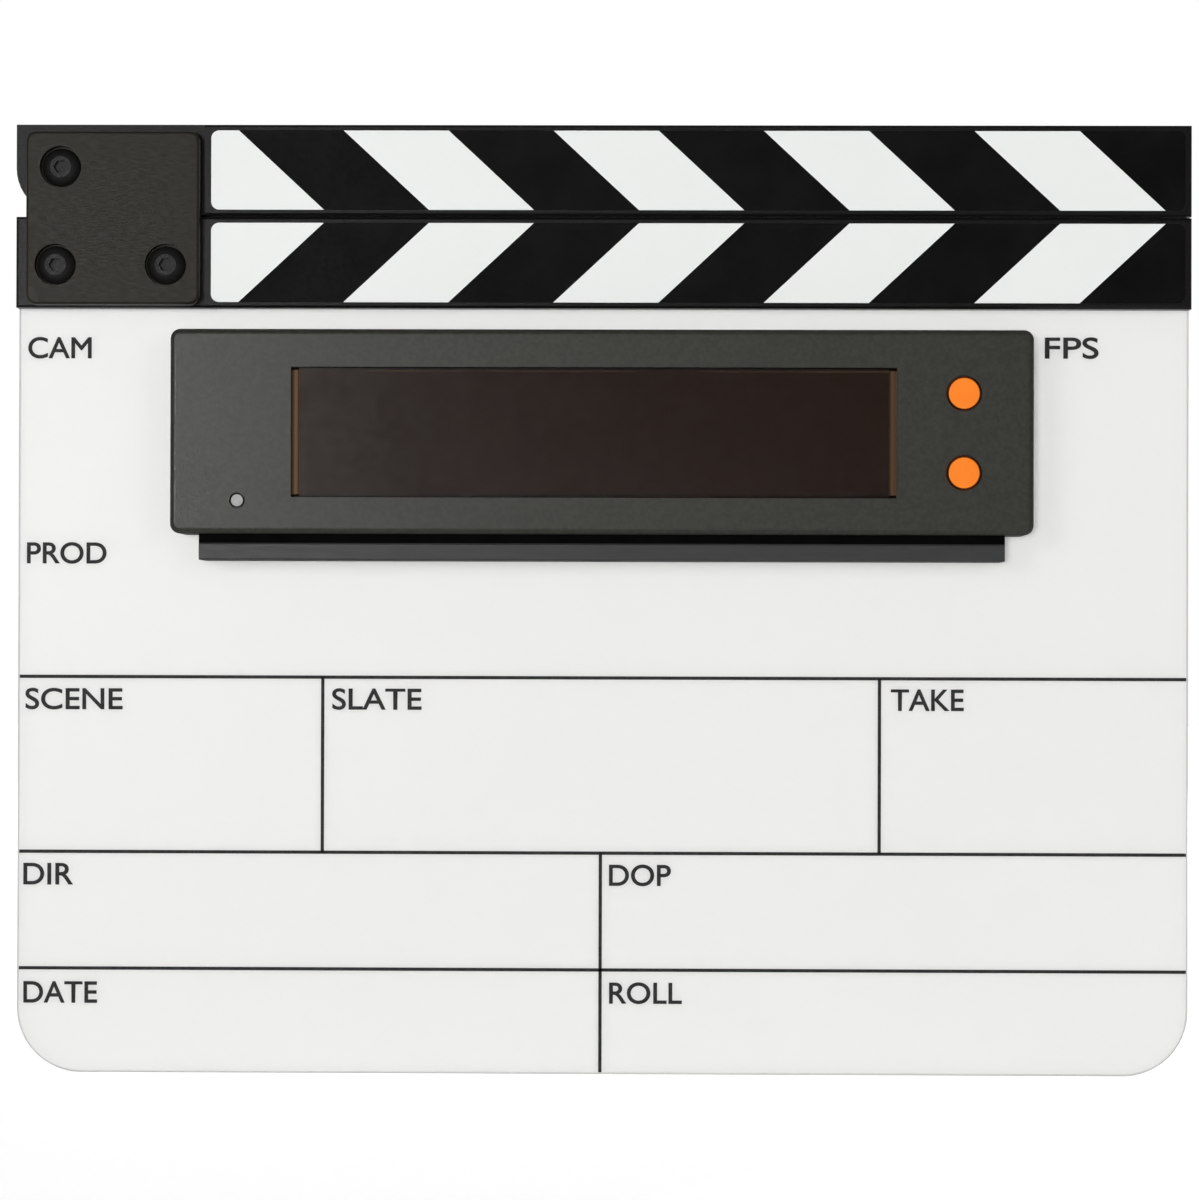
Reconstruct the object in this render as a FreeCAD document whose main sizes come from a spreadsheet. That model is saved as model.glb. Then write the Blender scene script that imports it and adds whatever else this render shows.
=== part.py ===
"""Film clapperboard: a writing board under two striped bars, with a display unit on its front.

Lengths are millimetres.  X runs to the right, Z runs up and the writing side faces -Y.
The origin is the middle of the board's bottom edge.  A depth is counted from the middle of
the board towards the viewer, so a depth of two lies at Y = -2.
"""
import FreeCAD
import Part
import Sketcher
import math
import os

os.makedirs("parts", exist_ok=True)
doc = FreeCAD.newDocument("clapperboard")
sheet = doc.addObject("Spreadsheet::Sheet", "Sizes")

# Driving dimensions: name, millimetres
DRIVING = (
    # writing board
    ("board_width", 291.4),
    ("board_rise", 190.3),
    ("board_thickness", 5.0),
    ("board_entry", 11.0),
    ("board_corner_radius", 16.0),
    ("board_edge_chamfer", 0.5),
    # striped bars
    ("bar_overhang", 0.1),
    ("bar_height", 22.55),
    ("bar_depth", 15.0),
    ("bar_edge_chamfer", 0.6),
    ("closing_gap", 0.4),
    ("groove_clearance", 0.1),
    ("groove_end_wall", 3.0),
    ("strip_start_wall", 1.58),
    ("strip_margin", 1.38),
    ("strip_end_margin", 1.62),
    ("strip_corner_radius", 2.0),
    ("inlay_thickness", 1.0),
    ("inlay_clearance", 0.05),
    ("stripe_width", 26.07),
    ("stripe_lean", 21.18),
    ("stick_screw_radius", 1.5),
    ("stick_screw_head_radius", 2.9),
    ("stick_screw_inset", 15.0),
    ("stick_screw_skin", 1.2),
    # hinge
    ("tongue_relief", 0.2),
    ("pivot_offset", 0.4),
    ("low_screw_offset", 0.9),
    ("hinge_screw_wall", 2.59),
    ("hinge_screw_spacing", 27.33),
    ("hinge_screw_radius", 2.5),
    ("hinge_head_radius", 4.75),
    ("hinge_head_height", 2.75),
    ("hinge_head_sink", 0.05),
    ("hinge_head_clearance", 0.4),
    ("hinge_head_dome", 4.2),
    ("hinge_socket_width", 3.0),
    ("hinge_socket_depth", 1.6),
    ("plate_inset", 2.91),
    ("plate_low_margin", 0.5),
    ("plate_high_margin", 1.95),
    ("plate_end_margin", 3.69),
    ("plate_thickness", 3.5),
    ("plate_corner_radius", 2.7),
    ("plate_edge_fillet", 0.8),
    ("swing_clearance", 0.25),
    ("bush_wall", 1.5),
    ("running_clearance", 0.05),
    ("bush_clearance", 0.02),
    ("washer_thickness", 0.5),
    ("washer_radius", 7.5),
    # display bracket
    ("bracket_end_inset", 6.85),
    ("bracket_thickness", 3.0),
    ("bracket_drop", 8.0),
    ("bracket_edge_chamfer", 0.4),
    ("ledge_height", 4.2),
    ("ledge_setback", 3.0),
    ("seat_pad_height", 2.2),
    ("seat_pad_setback", 0.2),
    ("bracket_screw_radius", 2.0),
    ("bracket_screw_head_radius", 3.9),
    ("bracket_screw_inset", 23.7),
    ("bracket_screw_rise", 9.0),
    ("bracket_screw_drop", 10.0),
    ("bracket_screw_tip", 0.4),
    ("camera_screw_radius", 3.1),
    ("camera_screw_reach", 5.0),
    ("camera_head_radius", 5.0),
    ("camera_head_height", 1.8),
    ("camera_head_sink", 0.2),
    ("camera_head_clearance", 0.3),
    ("camera_socket_width", 4.0),
    ("camera_socket_depth", 1.0),
    ("insert_radius", 4.0),
    ("insert_height", 7.0),
    # display unit
    ("unit_drop", 6.3),
    ("unit_left_margin", 29.63),
    ("unit_right_margin", 33.37),
    ("unit_top_margin", 9.3),
    ("unit_corner_radius", 2.4),
    ("unit_edge_fillet", 1.4),
    ("housing_wall", 2.2),
    ("front_wall", 2.5),
    ("cover_thickness", 2.5),
    ("cover_edge_chamfer", 0.6),
    ("boss_radius", 3.0),
    ("boss_inset", 5.4),
    ("cover_screw_radius", 1.25),
    ("cover_screw_head_radius", 2.4),
    ("cover_screw_length", 8.0),
    ("post_radius", 2.2),
    ("post_inset", 9.0),
    ("post_rise", 6.5),
    ("insert_boss_wall", 3.0),
    ("insert_boss_roof", 1.3),
    ("insert_boss_gap", 0.2),
    ("seat_clearance", 0.05),
    # window and lights
    ("window_width", 148.1),
    ("window_height", 31.9),
    ("window_gap", 0.3),
    ("window_bevel", 1.7),
    ("window_sink", 0.2),
    ("window_flange", 2.0),
    ("window_flange_thickness", 1.5),
    ("module_end_margin", 3.3),
    ("module_rim", 1.95),
    ("module_foot_gap", 2.55),
    ("module_depth", 5.0),
    ("module_gap", 0.5),
    ("module_clearance", 0.3),
    ("light_radius", 1.45),
    ("light_gap", 0.45),
    ("light_flange", 0.9),
    ("light_flange_thickness", 1.0),
    ("light_inset", 16.5),
    ("light_rise", 8.1),
    ("lamp_width", 2.0),
    ("lamp_height", 0.8),
    # buttons and switches
    ("button_radius", 4.0),
    ("button_gap", 0.4),
    ("button_offset", 16.27),
    ("button_spacing", 19.4),
    ("button_proud", 0.7),
    ("button_edge", 0.5),
    ("button_flange", 1.2),
    ("button_flange_thickness", 1.0),
    ("button_stem_radius", 1.5),
    ("button_travel", 0.6),
    ("switch_width", 6.0),
    ("switch_height", 2.8),
    ("plunger_radius", 1.6),
    ("plunger_proud", 0.8),
    ("plunger_seat", 1.2),
    ("plunger_clearance", 0.3),
    # circuit board, battery and sockets
    ("pcb_thickness", 1.6),
    ("pcb_margin", 0.4),
    ("battery_width", 90.0),
    ("battery_margin", 2.3),
    ("battery_thickness", 4.2),
    ("battery_lift", 6.2),
    ("battery_gap", 0.4),
    ("battery_edge", 1.5),
    ("usb_width", 8.9),
    ("usb_height", 3.2),
    ("usb_length", 7.4),
    ("usb_wall", 0.3),
    ("usb_hollow", 6.2),
    ("usb_tongue_width", 6.6),
    ("usb_tongue_thickness", 0.7),
    ("usb_tongue_length", 5.0),
    ("usb_rise", 17.0),
    ("jack_length", 11.0),
    ("jack_width", 7.0),
    ("jack_height", 5.0),
    ("jack_nose_radius", 3.0),
    ("jack_bore_radius", 1.8),
    ("jack_bore_depth", 12.0),
    ("jack_rise", 32.0),
    ("socket_clearance", 0.15),
    # fits shared by all the pieces
    ("screw_clearance", 0.25),
    ("thread_clearance", 0.1),
    ("screw_point", 0.4),
    ("overrun", 1.0),
)

# Counts and shares
STICK_SCREWS = 4
MODULES = 4
HEX_CORNER_SHARE = 1.0 / math.sqrt(3.0)
HEAD_TOP_SHARE = 0.55
HEAD_RIM_SHARE = 0.12

# Coordinates nearer to each other than this are one place.
SAME_PLACE = 1e-4


class Size:
    """A length: its value in millimetres and the sheet expression that gives it."""

    def __init__(self, value, text):
        self.value = value
        self.text = text

    def __add__(self, other):
        return Size(self.value + other.value, f"({self.text} + {other.text})")

    def __sub__(self, other):
        return Size(self.value - other.value, f"({self.text} - {other.text})")

    def __neg__(self):
        return Size(-self.value, f"(0 - {self.text})")

    def __mul__(self, share):
        return Size(self.value * share, f"({self.text} * {share})")

    def __truediv__(self, share):
        return Size(self.value / share, f"({self.text} / {share})")


def hypotenuse(one, other):
    """Length of the diagonal of two lengths."""
    value = math.hypot(one.value, other.value)
    return Size(value, f"sqrt({one.text} * {one.text} + {other.text} * {other.text})")


class Sizes:
    """The driving dimensions by name, each also a cell of the sheet."""

    def __init__(self, rows):
        for row, (name, value) in enumerate(rows, start=1):
            sheet.set(f"A{row}", name)
            sheet.set(f"B{row}", str(value))
            sheet.setAlias(f"B{row}", name)
            setattr(self, name, Size(value, f"Sizes.{name}"))


of = Sizes(DRIVING)
doc.recompute()
ZERO = Size(0.0, "0")


def new_body(label):
    """An empty body whose label names its node."""
    body = doc.addObject("PartDesign::Body", label)
    body.Label = label
    return body


def sketch_on(body, role, level=ZERO):
    """An empty sketch parallel to one of the body's origin planes, lifted to a level."""
    sketch = body.newObject("Sketcher::SketchObject", f"{body.Name}_sketch")
    plane = next(item for item in body.Origin.OriginFeatures if item.Role == role)
    sketch.AttachmentSupport = [(plane, "")]
    sketch.MapMode = "FlatFace"
    sketch.setExpression("AttachmentOffset.Base.z", level.text)
    return sketch


def front_sketch(body, depth):
    """A sketch seen from the front, X to the right and Z up, at a depth."""
    return sketch_on(body, "XZ_Plane", depth)


def pin_point(sketch, geometry, point, across, up):
    """Ties a sketch point to its two coordinates."""
    for kind, axis, size in (("DistanceX", -2, across), ("DistanceY", -1, up)):
        if size.text == ZERO.text:
            sketch.addConstraint(Sketcher.Constraint("PointOnObject", geometry, point, axis))
            continue
        index = sketch.addConstraint(Sketcher.Constraint(kind, -1, 1, geometry, point, size.value))
        sketch.setExpression(f"Constraints[{index}]", size.text)


def arc_between(start, end, radius):
    """Arc from start to end, turning left about a centre on the left of the run."""
    middle = (start + end) / 2
    run = end - start
    away = math.sqrt(max(radius ** 2 - (run.Length / 2) ** 2, 0))
    centre = middle + FreeCAD.Vector(-run.y, run.x, 0).normalize() * away
    first = math.atan2(start.y - centre.y, start.x - centre.x)
    last = math.atan2(end.y - centre.y, end.x - centre.x)
    circle = Part.Circle(centre, FreeCAD.Vector(0, 0, 1), radius)
    return Part.ArcOfCircle(circle, first, last)


def outline(sketch, corners, arcs=None):
    """Closes an outline through corners, walked anticlockwise; arcs gives radii by run."""
    arcs = arcs or {}
    points = [FreeCAD.Vector(across.value, up.value, 0) for across, up in corners]
    first = sketch.GeometryCount
    for run, point in enumerate(points):
        after = points[(run + 1) % len(points)]
        if run in arcs:
            sketch.addGeometry(arc_between(point, after, arcs[run].value), False)
        else:
            sketch.addGeometry(Part.LineSegment(point, after), False)
    for run in range(len(points)):
        after = first + (run + 1) % len(points)
        sketch.addConstraint(Sketcher.Constraint("Coincident", first + run, 2, after, 1))
    for run, (across, up) in enumerate(corners):
        pin_point(sketch, first + run, 1, across, up)
    for run, radius in arcs.items():
        index = sketch.addConstraint(Sketcher.Constraint("Radius", first + run, radius.value))
        sketch.setExpression(f"Constraints[{index}]", radius.text)


def rectangle(sketch, left, right, bottom, top):
    """A rectangle between two pairs of sides."""
    outline(sketch, [(left, bottom), (right, bottom), (right, top), (left, top)])


def centred_rectangle(sketch, across, up, width, height):
    """A rectangle about a centre."""
    half_width = width / 2
    half_height = height / 2
    rectangle(sketch, across - half_width, across + half_width, up - half_height, up + half_height)


def circle(sketch, across, up, radius):
    """A circle about a centre."""
    centre = FreeCAD.Vector(across.value, up.value, 0)
    shape = Part.Circle(centre, FreeCAD.Vector(0, 0, 1), radius.value)
    index = sketch.addGeometry(shape, False)
    pin_point(sketch, index, 3, across, up)
    tie = sketch.addConstraint(Sketcher.Constraint("Radius", index, radius.value))
    sketch.setExpression(f"Constraints[{tie}]", radius.text)


def hexagon(sketch, width):
    """A hexagon about the sketch's origin, given its width across the flats."""
    reach = width * HEX_CORNER_SHARE
    half = reach / 2
    flat = width / 2
    corners = [(reach, ZERO), (half, flat), (-half, flat), (-reach, ZERO), (-half, -flat)]
    outline(sketch, corners + [(half, -flat)])


def pad(body, sketch, length, midplane=False):
    """Raises a sketch along its normal, or to both sides of it."""
    feature = body.newObject("PartDesign::Pad", f"{body.Name}_pad")
    feature.Profile = sketch
    feature.setExpression("Length", length.text)
    feature.Midplane = midplane
    body.Tip = feature
    return feature


def pocket(body, sketch, depth, along_normal=False):
    """Cuts a sketch into the body, against its normal unless told otherwise."""
    doc.recompute()
    before = body.Shape.Volume
    feature = body.newObject("PartDesign::Pocket", f"{body.Name}_pocket")
    feature.Profile = sketch
    feature.setExpression("Length", depth.text)
    feature.Reversed = along_normal
    body.Tip = feature
    doc.recompute()
    if not body.Shape.Volume < before:
        raise ValueError(f"{feature.Label} cuts nothing")
    return feature


def revolve(body, sketch):
    """Turns a sketch once round its own vertical axis."""
    feature = body.newObject("PartDesign::Revolution", f"{body.Name}_revolution")
    feature.Profile = sketch
    feature.ReferenceAxis = (sketch, ["V_Axis"])
    feature.Angle = 360
    body.Tip = feature
    return feature


def dress(body, kind, size_property, size, chosen):
    """Rounds or bevels the edges of the body that the test chooses."""
    doc.recompute()
    base = body.Tip
    edges = base.Shape.Edges
    names = [f"Edge{index}" for index, edge in enumerate(edges, start=1) if chosen(edge)]
    if not names:
        raise ValueError(f"{body.Label} has no edge to dress")
    feature = body.newObject(kind, f"{body.Name}_dressing")
    feature.Base = (base, names)
    feature.setExpression(size_property, size.text)
    body.Tip = feature
    return feature


def fillet(body, radius, chosen):
    """Rounds chosen edges."""
    return dress(body, "PartDesign::Fillet", "Radius", radius, chosen)


def chamfer(body, size, chosen):
    """Bevels chosen edges at 45 degrees."""
    return dress(body, "PartDesign::Chamfer", "Size", size, chosen)


def near(one, other):
    """Whether two coordinates are the same place."""
    return abs(one - other) < SAME_PLACE


def edge_along_depth(spots):
    """Test for straight edges that run front to back at any of the given places."""
    def chosen(edge):
        ends = [vertex.Point for vertex in edge.Vertexes]
        if len(ends) != 2 or not near(edge.Length, abs(ends[0].y - ends[1].y)):
            return False
        return any(near(ends[0].x, x.value) and near(ends[0].z, z.value) for x, z in spots)
    return chosen


def edge_at_depth(depth, radius=None):
    """Test for edges that lie at a depth: all outer ones, or the circles of a radius."""
    def chosen(edge):
        if not all(near(edge.valueAt(place).y, -depth.value) for place in edge.ParameterRange):
            return False
        middle = edge.valueAt(sum(edge.ParameterRange) / 2)
        if not near(middle.y, -depth.value):
            return False
        round_edge = isinstance(edge.Curve, Part.Circle)
        if radius is None:
            return not (round_edge and len(edge.Vertexes) == 1)
        return round_edge and near(edge.Curve.Radius, radius.value)
    return chosen


def place(thing, across, depth, up):
    """Ties an object's place to its X, its depth and its Z."""
    thing.setExpression(".Placement.Base.x", across.text)
    thing.setExpression(".Placement.Base.y", (-depth).text)
    thing.setExpression(".Placement.Base.z", up.text)


def rod(name, across, depth, up, radius, length):
    """A cylinder that runs from a depth towards the viewer."""
    thing = doc.addObject("Part::Cylinder", name)
    thing.setExpression("Radius", radius.text)
    thing.setExpression("Height", length.text)
    thing.Placement.Rotation = FreeCAD.Rotation(FreeCAD.Vector(1, 0, 0), 90)
    place(thing, across, depth, up)
    return thing


def cut(label, base, tool):
    """One solid less another."""
    thing = doc.addObject("Part::Cut", label)
    thing.Label = label
    thing.Base = base
    thing.Tool = tool
    return thing


def ring(label, across, depth, up, inner, outer, length):
    """A round sleeve that runs from a depth towards the viewer."""
    body = rod(f"{label}_body", across, depth, up, outer, length)
    bore = rod(f"{label}_bore", across, depth - of.overrun, up, inner, length + of.overrun * 2)
    return cut(label, body, bore)


def group(label, members):
    """Several like solids that share one node."""
    thing = doc.addObject("Part::Compound", label)
    thing.Label = label
    thing.Links = members
    return thing


# Places that several pieces share
board_front = of.board_thickness / 2
bar_length = of.board_width + of.bar_overhang * 2
bar_left = -(bar_length / 2)
bar_right = bar_length / 2
bar_front = of.bar_depth / 2
bar_back = -bar_front
lower_bottom = of.board_rise
lower_top = lower_bottom + of.bar_height
upper_bottom = lower_top + of.closing_gap
upper_top = upper_bottom + of.bar_height
half_bar = of.bar_height / 2
tongue_radius = half_bar + of.pivot_offset - of.tongue_relief
pivot_x = bar_left + tongue_radius
pivot_z = upper_top - half_bar + of.pivot_offset
plate_left = bar_left + of.plate_inset
plate_bottom = lower_bottom + of.plate_low_margin
plate_top = upper_top - of.plate_high_margin
plate_front = bar_front + of.plate_thickness
plate_back = -plate_front
low_screw_z = lower_bottom + half_bar - of.low_screw_offset
low_screw_left = plate_left + of.hinge_head_radius + of.hinge_screw_wall
low_screw_right = low_screw_left + of.hinge_screw_spacing
plate_right = low_screw_right + of.hinge_head_radius + of.plate_end_margin
hinge_spots = [(pivot_x, pivot_z), (low_screw_left, low_screw_z), (low_screw_right, low_screw_z)]
head_recess = of.hinge_head_height + of.hinge_head_sink
front_plate_bore = of.hinge_screw_radius + of.screw_clearance
bush_inner = of.hinge_screw_radius + of.running_clearance
bush_outer = bush_inner + of.bush_wall

# The upper bar is thinned as far as the plate's corner reaches while it swings.
swing_reach = hypotenuse(
    plate_right - of.plate_corner_radius - pivot_x, plate_top - of.plate_corner_radius - pivot_z
)
step_x = pivot_x + swing_reach + of.plate_corner_radius + of.swing_clearance
groove_left = step_x + of.groove_end_wall
groove_top = lower_bottom + of.board_entry + of.groove_clearance
strip_left = step_x + of.strip_start_wall
strip_right = bar_right - of.strip_end_margin
stick_screw_z = lower_bottom + of.board_entry / 2
stick_screw_left = strip_left + of.stick_screw_inset
stick_screw_pitch = (strip_right - of.stick_screw_inset - stick_screw_left) / (STICK_SCREWS - 1)
stick_screw_spots = [
    (stick_screw_left + stick_screw_pitch * index, stick_screw_z) for index in range(STICK_SCREWS)
]
stick_screw_length = of.bar_depth - of.inlay_thickness - of.stick_screw_skin

# The number of white stripes follows from how many the inlay holds.
white_stripes = int(((strip_right - strip_left + of.stripe_lean).value / of.stripe_width.value + 1) / 2)

# The display unit is as large as its window, its margins and the stack of pieces inside.
insert_boss_height = of.insert_height + of.insert_boss_roof
unit_low_margin = insert_boss_height + of.module_foot_gap - of.module_rim
unit_width = of.unit_left_margin + of.window_width + of.unit_right_margin
unit_left = -(unit_width / 2)
unit_right = unit_width / 2
unit_top = lower_bottom - of.unit_drop
unit_bottom = unit_top - of.unit_top_margin - of.window_height - unit_low_margin
window_x = unit_left + of.unit_left_margin + of.window_width / 2
window_z = unit_top - of.unit_top_margin - of.window_height / 2
bracket_front = board_front + of.bracket_thickness
unit_back = bracket_front
cover_front = unit_back + of.cover_thickness
pcb_back = cover_front + of.battery_thickness + of.battery_gap
pcb_front = pcb_back + of.pcb_thickness
window_back = pcb_front + of.module_depth + of.module_clearance
front_inside = window_back + of.window_flange_thickness
unit_front = front_inside + of.front_wall

ledge_top = unit_bottom - of.seat_pad_height
ledge_bottom = ledge_top - of.ledge_height
ledge_front = unit_front - of.ledge_setback
bracket_width = unit_width - of.bracket_end_inset * 2
bracket_top = unit_top - of.bracket_drop
bracket_screw_x = bracket_width / 2 - of.bracket_screw_inset
bracket_screw_spots = [
    (across, up)
    for across in (-bracket_screw_x, bracket_screw_x)
    for up in (unit_bottom + of.bracket_screw_rise, bracket_top - of.bracket_screw_drop)
]
bracket_screw_length = of.board_thickness + of.bracket_thickness - of.bracket_screw_tip

cavity_left = unit_left + of.housing_wall
cavity_right = unit_right - of.housing_wall
cavity_bottom = unit_bottom + of.housing_wall
cavity_top = unit_top - of.housing_wall
boss_spots = [
    (unit_left + of.boss_inset, unit_bottom + of.boss_inset),
    (unit_right - of.boss_inset, unit_bottom + of.boss_inset),
    (unit_right - of.boss_inset, unit_top - of.boss_inset),
    (unit_left + of.boss_inset, unit_top - of.boss_inset),
]
post_spots = [
    (unit_left + of.post_inset, unit_bottom + of.post_rise),
    (unit_right - of.post_inset, unit_bottom + of.post_rise),
    (unit_right - of.post_inset, unit_top - of.post_rise),
    (unit_left + of.post_inset, unit_top - of.post_rise),
]
button_x = window_x + of.window_width / 2 + of.button_offset
button_low = window_z - of.button_spacing / 2
button_high = window_z + of.button_spacing / 2
light_x = unit_left + of.light_inset
light_z = unit_bottom + of.light_rise
insert_boss_half = of.insert_radius + of.insert_boss_wall
insert_boss_top = unit_bottom + insert_boss_height
insert_boss_front = window_back - of.insert_boss_gap
camera_depth = insert_boss_front - of.insert_boss_roof - of.insert_radius
usb_z = unit_bottom + of.usb_rise
usb_depth = pcb_front + of.usb_height / 2
jack_z = unit_bottom + of.jack_rise
jack_depth = pcb_front + of.jack_height / 2


def writing_board():
    """Opal sheet with two round lower corners; its top edge stands in the lower bar's groove."""
    half = of.board_width / 2
    top = lower_bottom + of.board_entry
    notch = groove_left + of.groove_clearance
    body = new_body("writing_board")
    sketch = front_sketch(body, -board_front)
    corners = [(-half, ZERO), (half, ZERO), (half, top), (notch, top)]
    outline(sketch, corners + [(notch, lower_bottom), (-half, lower_bottom)])
    pad(body, sketch, of.board_thickness)
    fillet(body, of.board_corner_radius, edge_along_depth([(-half, ZERO), (half, ZERO)]))
    holes = front_sketch(body, board_front)
    for across, up in stick_screw_spots:
        circle(holes, across, up, of.stick_screw_radius + of.screw_clearance)
    for across, up in bracket_screw_spots:
        circle(holes, across, up, of.bracket_screw_radius + of.screw_clearance)
    pocket(body, holes, of.board_thickness)
    sink = of.bracket_screw_head_radius - of.bracket_screw_radius
    at_back = edge_at_depth(-board_front, of.bracket_screw_radius + of.screw_clearance)
    chamfer(body, sink, at_back)

    def visible_rim(edge):
        flat = edge_at_depth(board_front)(edge) or edge_at_depth(-board_front)(edge)
        return flat and edge.BoundBox.ZMin < lower_bottom.value - of.overrun.value
    chamfer(body, of.board_edge_chamfer, visible_rim)
    return body


def strip_pocket(body, bottom, top):
    """Cuts the shallow seat of a striped inlay into a bar's front."""
    seat = front_sketch(body, bar_front)
    rectangle(seat, strip_left, strip_right, bottom, top)
    pocket(body, seat, of.inlay_thickness)
    spots = [(strip_left, bottom), (strip_right, bottom), (strip_right, top), (strip_left, top)]
    fillet(body, of.strip_corner_radius, edge_along_depth(spots))


def bar_rim(bottom, top):
    """Test for the front and back edges of a bar along its length and at its square ends."""
    def chosen(edge):
        if not (edge_at_depth(bar_front)(edge) or edge_at_depth(bar_back)(edge)):
            return False
        box = edge.BoundBox
        on_end = near(box.XMin, bar_right.value) or near(box.XMax, bar_left.value)
        level = near(box.ZMin, box.ZMax)
        return on_end or level and (near(box.ZMin, bottom.value) or near(box.ZMax, top.value))
    return chosen


def lower_stick():
    """Fixed bar: grooved underneath for the board and drilled at the left for the hinge screws."""
    body = new_body("lower_stick")
    sketch = front_sketch(body, bar_back)
    rectangle(sketch, bar_left, bar_right, lower_bottom, lower_top)
    pad(body, sketch, of.bar_depth)
    chamfer(body, of.bar_edge_chamfer, bar_rim(lower_bottom, lower_top))
    groove = front_sketch(body, board_front + of.groove_clearance)
    rectangle(groove, groove_left, bar_right + of.overrun, lower_bottom - of.overrun, groove_top)
    pocket(body, groove, of.board_thickness + of.groove_clearance * 2)
    strip_pocket(body, lower_bottom + of.strip_margin, lower_top - of.strip_margin)
    through = front_sketch(body, bar_front)
    for across, up in hinge_spots[1:]:
        circle(through, across, up, of.hinge_screw_radius + of.screw_clearance)
    pocket(body, through, of.bar_depth)
    tapped = front_sketch(body, bar_back)
    hole_radius = of.stick_screw_radius + of.thread_clearance
    for across, up in stick_screw_spots:
        circle(tapped, across, up, hole_radius)
    pocket(body, tapped, stick_screw_length + of.stick_screw_skin / 2, True)
    sink = of.stick_screw_head_radius - of.stick_screw_radius
    chamfer(body, sink, edge_at_depth(bar_back, hole_radius))
    return body


def upper_stick():
    """Moving bar: its tongue is round about the pivot, clears the lower bar and runs on washers."""
    body = new_body("upper_stick")
    sketch = front_sketch(body, bar_back)
    relief = upper_bottom + of.tongue_relief
    corners = [(bar_left, pivot_z), (pivot_x, relief), (step_x, relief), (step_x, upper_bottom)]
    corners += [(bar_right, upper_bottom), (bar_right, upper_top), (bar_left, upper_top)]
    outline(sketch, corners, {0: tongue_radius})
    pad(body, sketch, of.bar_depth)
    low = upper_bottom - of.overrun
    high = upper_top + of.overrun
    for level, along_normal in ((bar_front, False), (bar_back, True)):
        thinned = front_sketch(body, level)
        rectangle(thinned, bar_left - of.overrun, step_x, low, high)
        pocket(body, thinned, of.washer_thickness, along_normal)
    chamfer(body, of.bar_edge_chamfer, bar_rim(upper_bottom, upper_top))
    strip_pocket(body, upper_bottom + of.strip_margin, upper_top - of.strip_margin)
    bore = front_sketch(body, bar_front)
    circle(bore, pivot_x, pivot_z, bush_outer + of.bush_clearance)
    pocket(body, bore, of.bar_depth)
    return body


def inlay_strip(name, bottom, top):
    """The whole inlay of a bar, before it is parted into stripes."""
    body = new_body(name)
    sketch = front_sketch(body, bar_front - of.inlay_thickness)
    left = strip_left + of.inlay_clearance
    right = strip_right - of.inlay_clearance
    rectangle(sketch, left, right, bottom, top)
    pad(body, sketch, of.inlay_thickness)
    spots = [(left, bottom), (right, bottom), (right, top), (left, top)]
    fillet(body, of.strip_corner_radius, edge_along_depth(spots))
    return body


def slanted_prism(name, low_left, low_right, high_left, high_right, bottom, top):
    """A prism with slanted ends, wider than the inlay is thick."""
    thing = doc.addObject("Part::Wedge", name)
    thing.setExpression("Xmin", low_left.text)
    thing.setExpression("Xmax", low_right.text)
    thing.setExpression("X2min", high_left.text)
    thing.setExpression("X2max", high_right.text)
    thing.setExpression("Ymin", bottom.text)
    thing.setExpression("Ymax", top.text)
    back = bar_front - of.inlay_thickness - of.overrun
    for low in ("Zmin", "Z2min"):
        thing.setExpression(low, back.text)
    for high in ("Zmax", "Z2max"):
        thing.setExpression(high, (bar_front + of.overrun).text)
    thing.Placement.Rotation = FreeCAD.Rotation(FreeCAD.Vector(1, 0, 0), 90)
    return thing


def stripes(side, bottom, top, lean_low):
    """White and black stripes of one bar; lean_low says which edge is shifted to the right."""
    low = bottom + of.strip_margin + of.inlay_clearance
    high = top - of.strip_margin - of.inlay_clearance
    lean = of.stripe_lean
    prisms = []
    for index in range(white_stripes):
        right = strip_right - of.stripe_width * (2 * (white_stripes - index) - 1)
        left = right - of.stripe_width if index else strip_left - lean - of.overrun
        low_lean, high_lean = (lean, ZERO) if lean_low else (ZERO, lean)
        ends = (left + low_lean, right + low_lean, left + high_lean, right + high_lean)
        prisms.append(slanted_prism(f"{side}_prism", *ends, low, high))
    prism_group = group(f"{side}_prisms", prisms)
    white = doc.addObject("Part::Common", f"{side}_white_stripes")
    white.Label = f"{side}_white_stripes"
    white.Base = inlay_strip(f"{side}_inlay_white", low, high)
    white.Tool = prism_group
    black = cut(f"{side}_black_stripes", inlay_strip(f"{side}_inlay_black", low, high), prism_group)
    return [white, black]


def hinge_plate(label, back, hole_radius):
    """Square plate with round corners and three holes, from a depth towards the viewer."""
    body = new_body(label)
    sketch = front_sketch(body, back)
    rectangle(sketch, plate_left, plate_right, plate_bottom, plate_top)
    pad(body, sketch, of.plate_thickness)
    spots = [(across, up) for across in (plate_left, plate_right) for up in (plate_bottom, plate_top)]
    fillet(body, of.plate_corner_radius, edge_along_depth(spots))
    holes = front_sketch(body, back + of.plate_thickness)
    for across, up in hinge_spots:
        circle(holes, across, up, hole_radius)
    pocket(body, holes, of.plate_thickness)
    return body


def front_hinge_plate():
    """Front plate, counterbored so that the screw heads lie just below its face."""
    body = hinge_plate("front_hinge_plate", bar_front, front_plate_bore)
    heads = front_sketch(body, plate_front)
    for across, up in hinge_spots:
        circle(heads, across, up, of.hinge_head_radius + of.hinge_head_clearance)
    pocket(body, heads, head_recess)
    fillet(body, of.plate_edge_fillet, edge_at_depth(plate_front))
    return body


def rear_hinge_plate():
    """Rear plate, tapped for the three screws."""
    body = hinge_plate("rear_hinge_plate", plate_back, of.hinge_screw_radius + of.thread_clearance)
    fillet(body, of.plate_edge_fillet, edge_at_depth(plate_back))
    return body


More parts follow.
